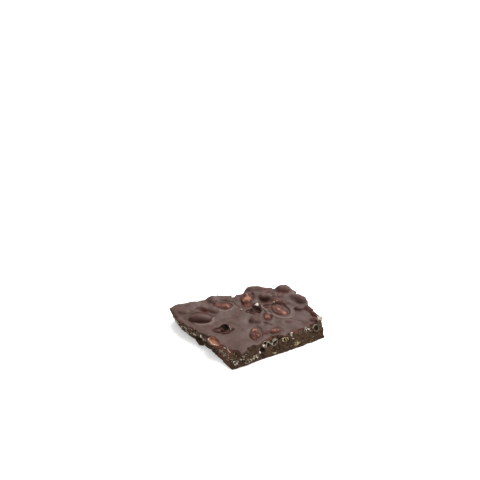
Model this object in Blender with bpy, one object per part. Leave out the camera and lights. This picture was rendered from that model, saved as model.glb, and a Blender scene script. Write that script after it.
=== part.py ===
"""A broken piece of dark chocolate bark set with puffed rice, as one solid.

The bark was poured on a flat tray, so its underside is flat and its top is a smooth
pool that rises over the grains lying in it. It was snapped off a sheet: every side is
a rough break, where the grains that the crack met show their cut faces.
"""

import math
import random

import bmesh
import bpy
from mathutils import Matrix, Vector
from mathutils.geometry import delaunay_2d_cdt
from mathutils.noise import noise

MM = 0.001

# The slab. +X runs along the straight front break, and the foot is at Z 0.
THICKNESS = 6.1 * MM
POOL_SWELL = 0.32 * MM
POOL_WAVE = 10.0 * MM
EDGE_DROP = 0.45 * MM
EDGE_DROP_WIDTH = 2.2 * MM
MENISCUS_RISE = 0.32
MENISCUS_WIDTH = 1.5 * MM

# Corners of the broken sides, anticlockwise from the front left one: x and y at the
# top's rim, then x and y at the foot
CORNERS_MM = (
    (-18.0, -20.0, -19.3, -20.9),
    (-5.0, -19.3, -6.0, -20.5),
    (-2.6, -18.7, -2.6, -20.6),
    (3.7, -19.3, 3.2, -20.9),
    (16.0, -18.4, 14.5, -21.0),
    (20.0, -17.9, 19.0, -20.9),
    (25.2, -17.2, 24.3, -20.6),
    (26.8, -12.0, 25.6, -12.5),
    (27.2, -5.0, 25.8, -5.0),
    (28.9, -0.2, 27.3, -0.4),
    (27.4, 4.8, 26.0, 4.6),
    (27.5, 10.6, 26.2, 10.0),
    (21.8, 12.9, 21.0, 11.7),
    (16.8, 17.4, 16.2, 16.2),
    (10.2, 18.6, 9.8, 17.2),
    (6.4, 16.0, 6.4, 14.8),
    (3.6, 16.4, 3.6, 15.2),
    (-2.7, 20.6, -2.9, 19.4),
    (-6.0, 22.0, -6.0, 20.8),
    (-8.4, 20.7, -8.4, 19.4),
    (-15.0, 22.1, -14.8, 20.8),
    (-20.8, 23.4, -20.2, 22.1),
    (-24.9, 20.9, -23.2, 20.0),
    (-25.0, 14.5, -22.8, 14.2),
    (-23.4, 2.0, -20.8, 2.0),
    (-20.4, -9.0, -19.6, -8.6),
    (-19.2, -14.5, -19.9, -14.9),
)
RIM_STEP = 1.35 * MM

# The rough break
BREAK_LEVELS = 6
BREAK_ROUGHNESS = 0.42 * MM
BREAK_GRAIN = 2.4 * MM
POOL_POINT_SPACING = 1.4 * MM
RIM_CLEARANCE = 0.6

# Puffed rice grains under the top: centre x, y, length, width, turn in degrees, and
# how far the coated grain stands above the pool, sizes in millimetres
COATED_GRAINS = (
    (-17.5, 8.4, 8.8, 4.3, -36, 1.5),
    (-21.2, 15.8, 4.9, 3.7, -30, 1.2),
    (-13.3, 13.9, 6.8, 3.6, -82, 1.2),
    (-9.9, 10.9, 5.0, 4.1, 0, 1.3),
    (-3.4, 12.1, 7.0, 3.6, -63, 1.3),
    (6.3, 11.0, 5.8, 4.4, -30, 1.7),
    (13.6, 9.6, 6.0, 4.3, -31, 1.8),
    (14.0, -3.3, 7.6, 4.1, -64, 1.3),
    (7.6, -3.5, 4.9, 3.4, -73, 1.2),
    (1.3, -3.5, 5.4, 4.0, -36, 1.4),
    (-3.7, -12.6, 7.4, 4.4, -121, 1.8),
    (4.5, -15.0, 4.9, 3.4, -4, 1.1),
    (-19.9, -8.2, 5.2, 3.4, -71, 0.9),
    (22.3, -5.2, 4.4, 3.4, -30, 1.1),
    (13.3, -11.8, 4.4, 3.2, -30, 0.9),
    (23.8, 9.5, 6.0, 5.0, -30, 2.4),
    (26.6, 0.0, 5.2, 4.1, -58, 1.8),
    (19.6, 1.6, 4.6, 3.6, -16, 1.2),
    (16.6, 4.9, 4.4, 3.3, -56, 1.1),
    (12.5, 16.2, 6.6, 4.6, -20, 2.1),
    (4.4, 14.4, 4.8, 3.6, 20, 0.9),
    (-5.9, -0.4, 4.4, 3.3, -31, 0.7),
    (3.7, -7.9, 4.6, 3.2, 10, 0.8),
    (23.4, -16.0, 5.2, 3.6, -10, 1.4),
    (-5.8, 19.4, 5.0, 3.9, 70, 1.2),
    (-15.0, 20.0, 4.8, 3.6, 15, 1.1),
    (-8.7, -8.9, 5.2, 3.1, 35, 0.6),
    (-11.3, -16.0, 4.3, 3.1, -19, 0.6),
    (-0.9, 3.7, 6.5, 3.3, 24, 0.5),
    (-19.5, -0.6, 6.1, 3.0, -74, 0.45),
)

# Burst bubbles in the top: centre x, y, length, width, turn, depth
POOL_HOLLOWS = (
    (-13.0, -2.5, 5.6, 2.7, -15, 1.7),
    (6.2, 3.4, 4.4, 2.8, -31, 1.9),
)

# Grains that the break went through: x and y of the nearest point of the rim, height
# of the grain's middle, length, thickness, tilt in degrees
CUT_GRAINS = (
    (-17.0, -20.0, 3.1, 4.2, 3.0, 35),
    (-10.4, -19.7, 1.6, 6.0, 2.0, 4),
    (-5.2, -19.3, 4.1, 4.2, 3.0, 20),
    (0.0, -18.9, 4.7, 6.2, 3.1, -16),
    (6.3, -19.0, 4.6, 3.6, 2.8, 12),
    (10.9, -18.6, 1.7, 3.7, 2.6, 25),
    (16.6, -18.0, 5.0, 3.2, 2.3, -40),
    (21.8, -16.2, 4.4, 3.7, 3.4, 0),
    (-25.0, 15.5, 3.6, 4.6, 2.4, 10),
    (-24.2, 8.6, 2.2, 4.4, 2.6, -15),
    (-22.5, -1.4, 4.1, 4.0, 2.8, 30),
    (-20.6, -8.0, 4.4, 4.8, 2.6, -12),
    (-19.5, -13.8, 3.0, 5.2, 2.4, 24),
)
HIDDEN_SEED = 5
HIDDEN_SPACING = 4.3 * MM
HIDDEN_LENGTH_MM = (3.4, 5.8)
HIDDEN_THICKNESS_MM = (2.2, 3.2)
HIDDEN_HEIGHT_MM = (1.7, 4.6)
HIDDEN_TILT = (-50, 50)
CUT_PROUD = 0.75 * MM
CUT_SINK = 0.5 * MM

# A crumb of bark left standing at the foot of the left break: centre and size
FOOT_CRUMB = (-21.6, 3.0, 1.55)
FOOT_CRUMB_SIZE = (3.8, 4.2, 2.9)

CHOCOLATE = (0.062, 0.034, 0.024, 1.0)


def side_normal(before, here, after):
    """The outward normal in plan at a point of an anticlockwise outline."""
    along = (here - before).normalized() + (after - here).normalized()
    return Vector((along.y, -along.x)).normalized()


def broken_outlines():
    """Points along the rim, RIM_STEP apart or less, and the foot point under each."""
    corners = [Vector(c) * MM for c in CORNERS_MM]
    points = []
    for here, after in zip(corners, corners[1:] + corners[:1]):
        steps = max(1, round((after.xy - here.xy).length / RIM_STEP))
        points += [here.lerp(after, i / steps) for i in range(steps)]
    return [p.xy for p in points], [p.zw for p in points]


def rim_gap(point, outline):
    """The distance in plan from a point to the nearest rim point."""
    return min((point - p).length for p in outline)


def inside(point, outline):
    """Whether a point in plan lies within the outline."""
    crossings = 0
    for a, b in zip(outline, outline[1:] + outline[:1]):
        if (a.y > point.y) != (b.y > point.y):
            crossings += point.x < a.x + (point.y - a.y) / (b.y - a.y) * (b.x - a.x)
    return crossings % 2 == 1


def pool_height(point, gap, grains):
    """The chocolate's level: a slow swell that droops at the rim and climbs each grain."""
    swell = POOL_SWELL * noise(Vector((point.x, point.y, 0)) / POOL_WAVE)
    droop = EDGE_DROP * max(0.0, 1 - gap / EDGE_DROP_WIDTH) ** 2
    climb = 0.0
    for x, y, length, width, turn, lift in grains:
        away = Vector((point.x - x, point.y - y))
        away.rotate(Matrix.Rotation(-math.radians(turn), 2))
        outside = Vector((away.x / length, away.y / width)).length - 0.5
        fall = max(0.0, outside * width) / MENISCUS_WIDTH
        climb = max(climb, MENISCUS_RISE * lift * math.exp(-fall * fall))
    return THICKNESS + swell - droop + climb


def slab(outline, feet, grains):
    """The poured slab with its flat underside, drooping rim and rough broken sides."""
    mesh = bmesh.new()
    count = len(outline)
    rings = []
    for level in range(BREAK_LEVELS + 1):
        share = level / BREAK_LEVELS
        ring = []
        for i, here in enumerate(outline):
            normal = side_normal(outline[i - 1], here, outline[(i + 1) % count])
            place = Vector((*feet[i].lerp(here, share), THICKNESS * share))
            crag = BREAK_ROUGHNESS * noise(place / BREAK_GRAIN)
            place.x += normal.x * crag
            place.y += normal.y * crag
            if level == BREAK_LEVELS:
                place.z = pool_height(here, 0.0, grains)
            ring.append(mesh.verts.new(place))
        rings.append(ring)
    for low, high in zip(rings, rings[1:]):
        for i in range(count):
            j = (i + 1) % count
            mesh.faces.new((low[i], low[j], high[j], high[i]))
    mesh.faces.new(list(reversed(rings[0])))
    cover_with_pool(mesh, rings[-1], outline, grains)
    return mesh


def cover_with_pool(mesh, rim, outline, grains):
    """Closes the top with triangles over a staggered grid of points on the pool."""
    rim_plan = [v.co.xy for v in rim]
    reach = max(p.length for p in rim_plan)
    row_gap = POOL_POINT_SPACING * math.sqrt(3) / 2
    rows = math.ceil(reach / row_gap)
    columns = math.ceil(reach / POOL_POINT_SPACING) + 1
    grid = []
    for row in range(-rows, rows + 1):
        for column in range(-columns, columns + 1):
            x = (column + 0.5 * (row % 2)) * POOL_POINT_SPACING
            point = Vector((x, row * row_gap))
            clear = rim_gap(point, rim_plan) > RIM_CLEARANCE * POOL_POINT_SPACING
            if clear and inside(point, rim_plan):
                grid.append(point)
    plan = rim_plan + grid
    order = list(range(len(rim_plan)))
    _, _, faces, sources, _, _ = delaunay_2d_cdt(plan, [], [order], 1, 1e-7)
    verts = list(rim)
    for point in grid:
        height = pool_height(point, rim_gap(point, outline), grains)
        verts.append(mesh.verts.new((point.x, point.y, height)))
    for face in faces:
        mesh.faces.new([verts[sources[i][0]] for i in face])


def named(mesh, name):
    """A scene object made from a bmesh, with its faces pointing out."""
    bmesh.ops.recalc_face_normals(mesh, faces=mesh.faces)
    data = bpy.data.meshes.new(name)
    mesh.to_mesh(data)
    mesh.free()
    made = bpy.data.objects.new(name, data)
    bpy.context.scene.collection.objects.link(made)
    return made


def grain_mesh(length, width, height, subdivisions=2):
    """A puffed grain: an egg-like ellipsoid, a little pinched along its waist."""
    mesh = bmesh.new()
    bmesh.ops.create_icosphere(mesh, subdivisions=subdivisions, radius=0.5)
    for vert in mesh.verts:
        waist = 1 - 0.10 * math.exp(-((vert.co.x / 0.16) ** 2))
        blunt = 1 + 0.10 * vert.co.x
        vert.co = Vector(
            (vert.co.x * length, vert.co.y * width * waist * blunt, vert.co.z * height * blunt)
        )
    return mesh


def coated_grain(x, y, length, width, turn, lift, index):
    """A grain that lies in the pool, its coated back standing above the level."""
    height = width * 0.92
    mesh = grain_mesh(length, width, height)
    place = Matrix.Translation((x, y, THICKNESS + lift - height / 2))
    mesh.transform(place @ Matrix.Rotation(math.radians(turn), 4, "Z"))
    return named(mesh, f"coated_grain_{index}")


def cut_grain(spot, facing, lean, shape, index):
    """A grain that the crack went through: its outer side is flat, just proud of the break."""
    length, thickness, tilt = shape
    mesh = grain_mesh(length, thickness, thickness)
    mesh.transform(Matrix.Rotation(math.radians(tilt), 4, "Y"))
    for vert in mesh.verts:
        vert.co.y = max(vert.co.y, -CUT_PROUD) + CUT_SINK
    turned = Matrix.Rotation(facing, 4, "Z") @ Matrix.Rotation(-lean, 4, "X")
    mesh.transform(Matrix.Translation(spot) @ turned)
    return named(mesh, f"cut_grain_{index}")


def break_point(outline, feet, i, height):
    """A point of the break below rim point i, the way it faces in plan, and its lean."""
    normal = side_normal(outline[i - 1], outline[i], outline[(i + 1) % len(outline)])
    plan = feet[i].lerp(outline[i], height / THICKNESS)
    lean = math.atan2((feet[i] - outline[i]).dot(normal), THICKNESS)
    return Vector((*plan, height)), math.atan2(normal.x, -normal.y), lean


def cut_grains(outline):
    """Rim index, height and shape (length, thickness, tilt) of every grain the break cut."""
    found = []
    for x, y, height, length, thickness, tilt in CUT_GRAINS:
        spot = Vector((x, y)) * MM
        near = min(range(len(outline)), key=lambda i: (outline[i] - spot).length)
        found.append((near, height * MM, (length * MM, thickness * MM, tilt)))
    draw = random.Random(HIDDEN_SEED)
    last = outline[0]
    for i, here in enumerate(outline):
        front = here.y < -14 * MM and here.x < 25.5 * MM
        left = here.x < -17 * MM and here.y < 20 * MM
        if front or left or (here - last).length < HIDDEN_SPACING:
            continue
        last = here
        height = draw.uniform(*HIDDEN_HEIGHT_MM) * MM
        length = draw.uniform(*HIDDEN_LENGTH_MM) * MM
        thickness = draw.uniform(*HIDDEN_THICKNESS_MM) * MM
        found.append((i, height, (length, thickness, draw.uniform(*HIDDEN_TILT))))
    return found


def ellipsoid(centre, size, name):
    """A lump with the given full sizes, in metres."""
    mesh = bmesh.new()
    bmesh.ops.create_icosphere(mesh, subdivisions=2, radius=0.5)
    mesh.transform(Matrix.Translation(centre) @ Matrix.Diagonal((*size, 1)))
    return named(mesh, name)


def hollow_cutter(x, y, length, width, turn, depth, index):
    """The shape of a burst bubble, which is taken out of the top."""
    mesh = bmesh.new()
    bmesh.ops.create_icosphere(mesh, subdivisions=2, radius=0.5)
    size = Matrix.Diagonal((length, width, 2 * depth, 1))
    turned = Matrix.Rotation(math.radians(turn), 4, "Z")
    mesh.transform(Matrix.Translation((x, y, THICKNESS + 0.2 * MM)) @ turned @ size)
    return named(mesh, f"hollow_{index}")


def joined(body, pieces, operation):
    """Applies one Boolean of the pieces to the body, then removes the pieces."""
    group = bpy.data.collections.new("pieces")
    bpy.context.scene.collection.children.link(group)
    for piece in pieces:
        bpy.context.scene.collection.objects.unlink(piece)
        group.objects.link(piece)
    boolean = body.modifiers.new(operation.lower(), "BOOLEAN")
    boolean.operation = operation
    boolean.operand_type = "COLLECTION"
    boolean.collection = group
    boolean.solver = "EXACT"
    bpy.context.view_layer.objects.active = body
    bpy.ops.object.modifier_apply(modifier=boolean.name)
    for piece in pieces:
        bpy.data.objects.remove(piece)
    bpy.data.collections.remove(group)


def keep_outer_skin(body):
    """Drops every shell but the largest: sealed gaps between grains fill, scraps go."""
    mesh = bmesh.new()
    mesh.from_mesh(body.data)
    unseen = set(mesh.verts)
    shells = []
    while unseen:
        shell = {unseen.pop()}
        edge = list(shell)
        while edge:
            for link in edge.pop().link_edges:
                for vert in link.verts:
                    if vert in unseen:
                        unseen.discard(vert)
                        shell.add(vert)
                        edge.append(vert)
        shells.append(shell)
    shells.sort(key=len)
    for shell in shells[:-1]:
        bmesh.ops.delete(mesh, geom=list(shell), context="VERTS")
    mesh.to_mesh(body.data)
    mesh.free()


def chocolate():
    """Dark chocolate with a satin break and a dull shine on top."""
    made = bpy.data.materials.new("dark_chocolate")
    made.use_nodes = True
    shader = made.node_tree.nodes["Principled BSDF"]
    shader.inputs["Base Color"].default_value = CHOCOLATE
    shader.inputs["Roughness"].default_value = 0.45
    shader.inputs["Metallic"].default_value = 0.0
    return made


def centred(body):
    """Moves the mesh so that the middle of its box's underside is at the origin."""
    corners = [Vector(c) for c in body.bound_box]
    low = Vector([min(c[i] for c in corners) for i in range(3)])
    high = Vector([max(c[i] for c in corners) for i in range(3)])
    middle = (low + high) / 2
    body.data.transform(Matrix.Translation((-middle.x, -middle.y, -low.z)))


def build():
    for old in list(bpy.data.objects):
        bpy.data.objects.remove(old)
    outline, feet = broken_outlines()
    coated = [
        (x * MM, y * MM, length * MM, width * MM, turn, lift * MM)
        for x, y, length, width, turn, lift in COATED_GRAINS
    ]
    bark = named(slab(outline, feet, coated), "chocolate_bark")
    grains = [coated_grain(*grain, i) for i, grain in enumerate(coated)]
    for i, height, shape in cut_grains(outline):
        spot, facing, lean = break_point(outline, feet, i, height)
        grains.append(cut_grain(spot, facing, lean, shape, len(grains)))
    crumb_size = [s * MM for s in FOOT_CRUMB_SIZE]
    grains.append(ellipsoid(Vector(FOOT_CRUMB) * MM, crumb_size, "foot_crumb"))
    joined(bark, grains, "UNION")
    hollows = [
        hollow_cutter(x * MM, y * MM, length * MM, width * MM, turn, depth * MM, i)
        for i, (x, y, length, width, turn, depth) in enumerate(POOL_HOLLOWS)
    ]
    joined(bark, hollows, "DIFFERENCE")
    keep_outer_skin(bark)
    centred(bark)
    bark.data.shade_smooth()
    bark.data.set_sharp_from_angle(angle=math.radians(40))
    bark.data.materials.append(chocolate())


build()
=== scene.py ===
"""The looks of a broken piece of dark chocolate bark set with puffed rice.

Lengths in the sections are millimetres on the part's drawing, where +X runs along the
front break and Z 0 is the tray. Each mesh is moved to the frame, in metres, as it is made.
"""

import itertools
import math

import bmesh
import bpy
import numpy as np
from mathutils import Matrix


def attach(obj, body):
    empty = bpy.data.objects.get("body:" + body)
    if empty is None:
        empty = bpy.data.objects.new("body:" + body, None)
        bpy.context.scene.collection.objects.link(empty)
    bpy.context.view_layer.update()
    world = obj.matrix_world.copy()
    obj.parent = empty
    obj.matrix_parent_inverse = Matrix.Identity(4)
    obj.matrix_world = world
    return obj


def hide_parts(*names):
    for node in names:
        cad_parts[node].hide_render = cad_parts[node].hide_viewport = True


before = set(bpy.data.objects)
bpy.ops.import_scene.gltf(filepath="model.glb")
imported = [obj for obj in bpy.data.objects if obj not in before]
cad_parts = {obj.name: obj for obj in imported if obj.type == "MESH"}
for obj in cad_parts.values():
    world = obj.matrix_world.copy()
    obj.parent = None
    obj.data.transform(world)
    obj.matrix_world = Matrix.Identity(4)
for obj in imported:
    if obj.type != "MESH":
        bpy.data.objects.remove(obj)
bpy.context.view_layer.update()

import openvdb
from mathutils import Matrix, Vector

# The sheet
# Dark chocolate was poured about 6 mm deep on a flat tray and snapped into pieces, so it
# is flat below, a slow swell above, and broken on every side. It is sculpted here as a
# field of distances on a fine grid, negative inside, and skinned in a later section.

MM = 0.001
DRAWING_MIDDLE = (1.9027, 1.0328)
THICKNESS = 6.1

# Corners of the broken sides, anticlockwise from the front left one: x and y at the
# top's rim, then x and y at the foot
CORNERS = np.array(
    (
        (-18.0, -20.2, -19.3, -21.0),
        (-5.0, -19.3, -6.0, -20.9),
        (-2.6, -18.9, -2.6, -21.0),
        (3.7, -19.3, 3.2, -21.3),
        (16.0, -18.6, 14.5, -21.4),
        (20.0, -18.1, 19.0, -21.2),
        (25.6, -17.4, 24.5, -20.8),
        (27.4, -12.0, 26.2, -12.5),
        (27.4, -5.4, 26.0, -5.4),
        (28.4, -0.4, 27.0, -0.6),
        (28.4, 4.8, 26.6, 4.6),
        (28.0, 10.9, 26.6, 10.2),
        (22.4, 13.3, 21.6, 12.1),
        (16.9, 17.6, 16.3, 16.4),
        (10.2, 19.0, 9.8, 17.6),
        (6.4, 16.4, 6.4, 15.2),
        (3.9, 17.2, 3.8, 15.8),
        (-2.2, 21.2, -2.4, 19.8),
        (-6.0, 22.2, -6.0, 20.8),
        (-8.4, 20.9, -8.4, 19.4),
        (-15.0, 22.3, -14.8, 20.8),
        (-21.0, 23.6, -20.2, 22.1),
        (-24.4, 22.2, -22.3, 20.4),
        (-25.4, 13.4, -22.6, 14.0),
        (-24.5, 6.4, -22.0, 6.6),
        (-23.0, 0.4, -20.5, 0.8),
        (-20.4, -9.0, -19.5, -8.6),
        (-19.2, -14.5, -19.8, -14.9),
    )
)

STEP = 0.25
LOW = np.array((-27.5, -23.5, -0.75))
HIGH = np.array((31.0, 26.0, 9.5))
X, Y, Z = (np.arange(low, high, STEP) for low, high in zip(LOW, HIGH))


def spread(values, places):
    """Cubic spline values along the first axis of an array, at places given in cells."""
    cell = places.astype(int)
    t = (places - cell).reshape(-1, *[1] * (values.ndim - 1))
    weights = ((1 - t) ** 3, 3 * t**3 - 6 * t**2 + 4, 3 * (t + t**2 - t**3) + 1, t**3)
    return sum(values[cell + i] * w / 6 for i, w in enumerate(weights))


def relief(seed, feature, *axes):
    """Seeded smooth relief over the grid's axes, its bumps this far apart.

    The spline evens out its random values from -2 to 2, which leaves about -1 to 1.
    """
    counts = [int((axis[-1] - axis[0]) / feature) + 4 for axis in axes]
    values = np.random.default_rng(seed).uniform(-2, 2, counts)
    for i, axis in enumerate(axes):
        along = spread(np.moveaxis(values, i, 0), (axis - axis[0]) / feature)
        values = np.moveaxis(along, 0, i)
    return values


def plan_distance(outline):
    """Signed distance in plan from each grid point to a closed outline."""
    x, y = X[:, None], Y[None, :]
    nearest = np.full((len(X), len(Y)), np.inf)
    within = np.zeros(nearest.shape, bool)
    for a, b in zip(outline, np.roll(outline, -1, axis=0)):
        along = b - a
        share = np.clip(((x - a[0]) * along[0] + (y - a[1]) * along[1]) / (along @ along), 0, 1)
        gap = np.hypot(x - a[0] - share * along[0], y - a[1] - share * along[1])
        nearest = np.minimum(nearest, gap)
        crossing = a[0] + (y - a[1]) * along[0] / (along[1] or 1)
        within ^= ((a[1] > y) != (b[1] > y)) & (x < crossing)
    return np.where(within, -nearest, nearest)


def melded(a, b, width):
    """The union of two fields, with a fillet this wide where they meet."""
    near = np.maximum(width - np.abs(a - b), 0) / width
    return np.minimum(a, b) - near * near * width / 4


def common(a, b, width):
    """The part that two fields share, with its edge rounded this wide."""
    return -melded(-a, -b, width)


rim_gap = plan_distance(CORNERS[:, :2])
foot_gap = plan_distance(CORNERS[:, 2:])
HIGHEST_SHARE = 1.2
height_share = np.clip(Z / THICKNESS, 0, HIGHEST_SHARE)
side = foot_gap[:, :, None] + (rim_gap - foot_gap)[:, :, None] * height_share

POOL_SWELL = ((3, 10.0, 0.30), (4, 4.5, 0.20), (5, 2.0, 0.09))
RIM_DROOP = 0.15
RIM_DROOP_WIDTH = 1.4
level = np.full((len(X), len(Y)), THICKNESS)
for seed, feature, size in POOL_SWELL:
    level += size * relief(seed, feature, X, Y)
level -= RIM_DROOP * np.clip(1 + rim_gap / RIM_DROOP_WIDTH, 0, 1) ** 2

# The coated grains
# Grains of puffed rice lie just under the surface, and the chocolate ran over them in
# rounded lumps. Over some it drained so thin that the toasted grain glows through it.

WAIST_PINCH = 0.12
WAIST_LENGTH = 0.2
HEIGHT_SHARE = 0.85
FLAT_HEIGHT = 0.8
FLAT_SLOPE = 2.6
LUMP_UNEVENNESS = ((21, 2.1, 0.26), (22, 0.9, 0.09))
WRINKLES = ((23, 1.4, 0.75), (24, 0.75, 0.40))
STREAK_SCALE = (0.45, 1.3, 1.3)
STREAK_LEVEL = 6.0
STREAK_DEPTH = 1.3
GROOVE_WIDTH = 0.42
LIP_WIDTH = 0.30
LIP_OUT = 0.95
LIP_SHARE = 0.2
CROWN_FROM = 0.5
CROWN_RISE = 3.0
MOST_BARE = 1.8
LEAST_BARE = 0.4
COVERED_BY_STREAKS = 2.1
COAT_DEPTH = 0.4
TOASTED_GAIN = 0.9
RIDGE_HIGHLIGHT_HEIGHT = 0.28

# Centre x, y, length, width, turn in degrees, how far it stands above the pool, the
# fillet round its foot, the depth of the groove there, and how thin its chocolate is
COATED_GRAINS = (
    (-16.8, 9.2, 10.0, 5.8, -31, 1.9, 0.5, 0.25, 0.05),
    (-20.9, 16.4, 4.8, 3.4, -30, 1.0, 1.2, 0.1, 0.15),
    (-13.2, 14.3, 5.4, 4.2, -50, 1.9, 0.7, 0.1, 0.12),
    (-9.5, 11.9, 6.8, 5.0, -75, 1.35, 0.9, 0.15, 0.1),
    (-4.2, 13.1, 8.4, 5.0, -42, 0.8, 0.5, 0.3, 0.54),
    (7.0, 12.2, 8.8, 5.6, 59, 2.1, 0.8, 0.15, 0.78),
    (14.6, 9.6, 5.8, 4.4, -31, 1.6, 0.9, 0.1, 0.12),
    (14.7, -1.9, 10.2, 7.4, -92, 0.8, 0.25, 0.5, 0.62),
    (11.3, 2.9, 3.4, 2.4, -30, 0.3, 0.6, 0.25, 0.4),
    (7.6, -3.3, 6.8, 3.6, 62, 0.8, 0.3, 0.5, 0.5),
    (2.4, -3.6, 6.0, 5.4, -36, 1.3, 1.1, 0.1, 0.1),
    (-3.2, -11.8, 10.0, 5.5, -121, 1.6, 0.3, 0.2, 0.72),
    (4.9, -14.0, 5.6, 3.8, -14, 1.2, 0.6, 0.25, 0.64),
    (1.7, -13.4, 4.8, 2.4, 10, 0.5, 1.0, 0.0, 0.3),
    (22.3, -5.0, 4.6, 3.6, -30, 1.1, 0.7, 0.3, 0.12),
    (13.0, -11.4, 3.4, 2.2, -20, 0.5, 0.9, 0.15, 0.2),
    (19.6, 1.6, 5.0, 4.0, -16, 1.2, 1.2, 0.1, 0.3),
    (16.6, 4.7, 4.2, 3.2, -56, 1.1, 1.2, 0.1, 0.6),
    (4.4, 14.4, 4.8, 3.6, 20, 0.9, 1.4, 0.0, 0.3),
    (23.4, -16.0, 5.0, 3.4, -10, 1.4, 0.8, 0.0, 0.6),
    (25.5, -8.2, 6.4, 3.0, -85, 1.1, 1.2, 0.0, 0.35),
    (25.2, -12.8, 4.4, 2.6, -80, 1.1, 0.9, 0.1, 0.35),
    (17.6, 11.2, 3.6, 2.6, 10, 0.9, 0.8, 0.1, 0.4),
    (9.6, 14.4, 3.4, 2.8, 40, 1.2, 0.8, 0.1, 0.3),
    (20.0, 6.4, 3.8, 2.6, 60, 1.0, 0.8, 0.15, 0.4),
)

# Grains at the far rim, which the chocolate carried over its edge
RIM_GRAINS = (
    (23.8, 9.9, 5.4, 4.8, -30, 2.2, 1.9, 0.0, 0.05),
    (26.4, 1.0, 5.4, 3.8, -75, 1.3, 2.2, 0.0, 0.3),
    (12.9, 15.9, 8.4, 4.0, -27, 1.9, 1.4, 0.0, 0.15),
    (-5.6, 18.8, 5.0, 4.0, 70, 1.0, 1.6, 0.0, 0.2),
    (-15.0, 19.6, 5.0, 3.6, 15, 0.5, 1.8, 0.0, 0.15),
)

# Where the coat is thinnest and the toasted grain shows best: x, y, reach
TOASTED_SPOTS = (
    (-4.4, -12.8, 1.3), (-3.0, -10.2, 0.9), (-4.9, -14.4, 1.0), (5.2, 9.0, 2.2),
    (6.8, 10.2, 1.6), (15.5, -5.5, 1.1), (7.4, -4.0, 1.2), (5.0, -14.6, 1.4),
    (-4.4, 11.8, 1.6), (-2.2, 10.6, 1.0), (15.8, 4.2, 0.9), (11.4, 2.9, 0.9),
    (24.3, -16.4, 1.4), (14.2, -1.6, 0.8), (-6.0, 14.0, 0.9),
)

# Where the chocolate is thin enough to look ruddy: x, y, reach, how thin
RUDDY_SPOTS = (
    (-13.6, 12.4, 2.4, 0.32), (-20.8, 16.6, 2.0, 0.18), (-21.0, 10.8, 1.3, 0.20),
    (11.4, 16.6, 2.6, 0.16), (15.2, 15.0, 2.6, 0.24), (17.6, 13.6, 1.6, 0.30),
    (18.0, 6.2, 2.2, 0.25), (25.4, -5.8, 2.0, 0.30), (26.2, -9.2, 2.0, 0.30),
    (26.4, -13.4, 1.8, 0.35), (-4.4, 0.4, 1.6, 0.22), (6.6, -12.3, 1.9, 0.25),
    (13.1, -11.3, 1.1, 0.16), (11.6, 3.4, 1.6, 0.30), (5.9, 13.0, 2.6, 0.35),
    (9.2, 11.4, 1.6, 0.35), (-10.8, -12.4, 2.2, 0.12), (1.0, -17.1, 1.6, 0.25),
    (12.4, -18.3, 2.6, 0.30), (18.4, -16.0, 2.6, 0.30), (-24.6, 12.0, 1.6, 0.30),
    (-23.7, 5.7, 1.6, 0.30), (23.0, 7.6, 2.4, 0.28), (27.0, 0.2, 2.0, 0.28),
    (-20.2, -12.8, 2.2, 0.70), (-18.8, -16.6, 2.2, 0.60), (13.2, 7.4, 2.4, 0.20),
    (-1.6, -18.8, 2.2, 0.35), (-4.0, -12.4, 1.7, 0.80), (5.2, 8.4, 2.0, 0.95),
    (-3.4, 12.0, 1.5, 0.60),
)

# Creases in the pool, and ridges where the depth is negative, along which a pale line is
# painted as a highlight: x and y of both ends, half width, depth
CREASES = (
    (14.7, -9.8, 17.8, -14.2, 0.40, 0.22),
    (17.8, -8.0, 21.6, -11.0, 0.35, 0.16),
    (0.9, -15.7, 5.4, -16.8, 0.30, 0.25),
    (10.6, 4.4, 15.0, 2.6, 0.35, 0.30),
    (-8.0, 5.4, 1.0, 3.4, 0.50, 0.10),
    (3.6, -6.8, 5.6, -9.6, 0.45, 0.25),
    (9.7, 4.6, 9.4, 1.6, 0.40, -0.28),
    (9.4, 1.6, 9.5, -1.6, 0.42, -0.32),
    (9.5, -1.6, 10.0, -4.6, 0.42, -0.34),
    (10.0, -4.6, 10.9, -7.0, 0.42, -0.34),
    (10.9, -7.0, 12.4, -8.6, 0.42, -0.34),
    (12.4, -8.6, 14.4, -9.3, 0.42, -0.32),
    (14.4, -9.3, 16.2, -8.8, 0.40, -0.26),
    (-20.6, 7.2, -18.6, 5.5, 0.50, -0.26),
    (-18.6, 5.5, -15.5, 4.5, 0.50, -0.30),
    (-15.5, 4.5, -13.2, 5.3, 0.50, -0.30),
    (-13.2, 5.3, -11.8, 7.2, 0.50, -0.26),
    (-10.6, 8.0, -8.2, 7.6, 0.40, -0.15),
    (-7.4, 15.4, -3.6, 17.2, 0.35, 0.28),
    (-3.6, 17.2, 0.4, 13.0, 0.35, 0.28),
    (0.4, 13.0, 1.2, 9.2, 0.35, 0.22),
    (-7.4, 10.3, -5.3, 8.8, 0.45, -0.24),
    (-5.3, 8.8, -2.9, 8.8, 0.45, -0.26),
    (-2.9, 8.8, -0.6, 10.3, 0.45, -0.22),
)

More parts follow.
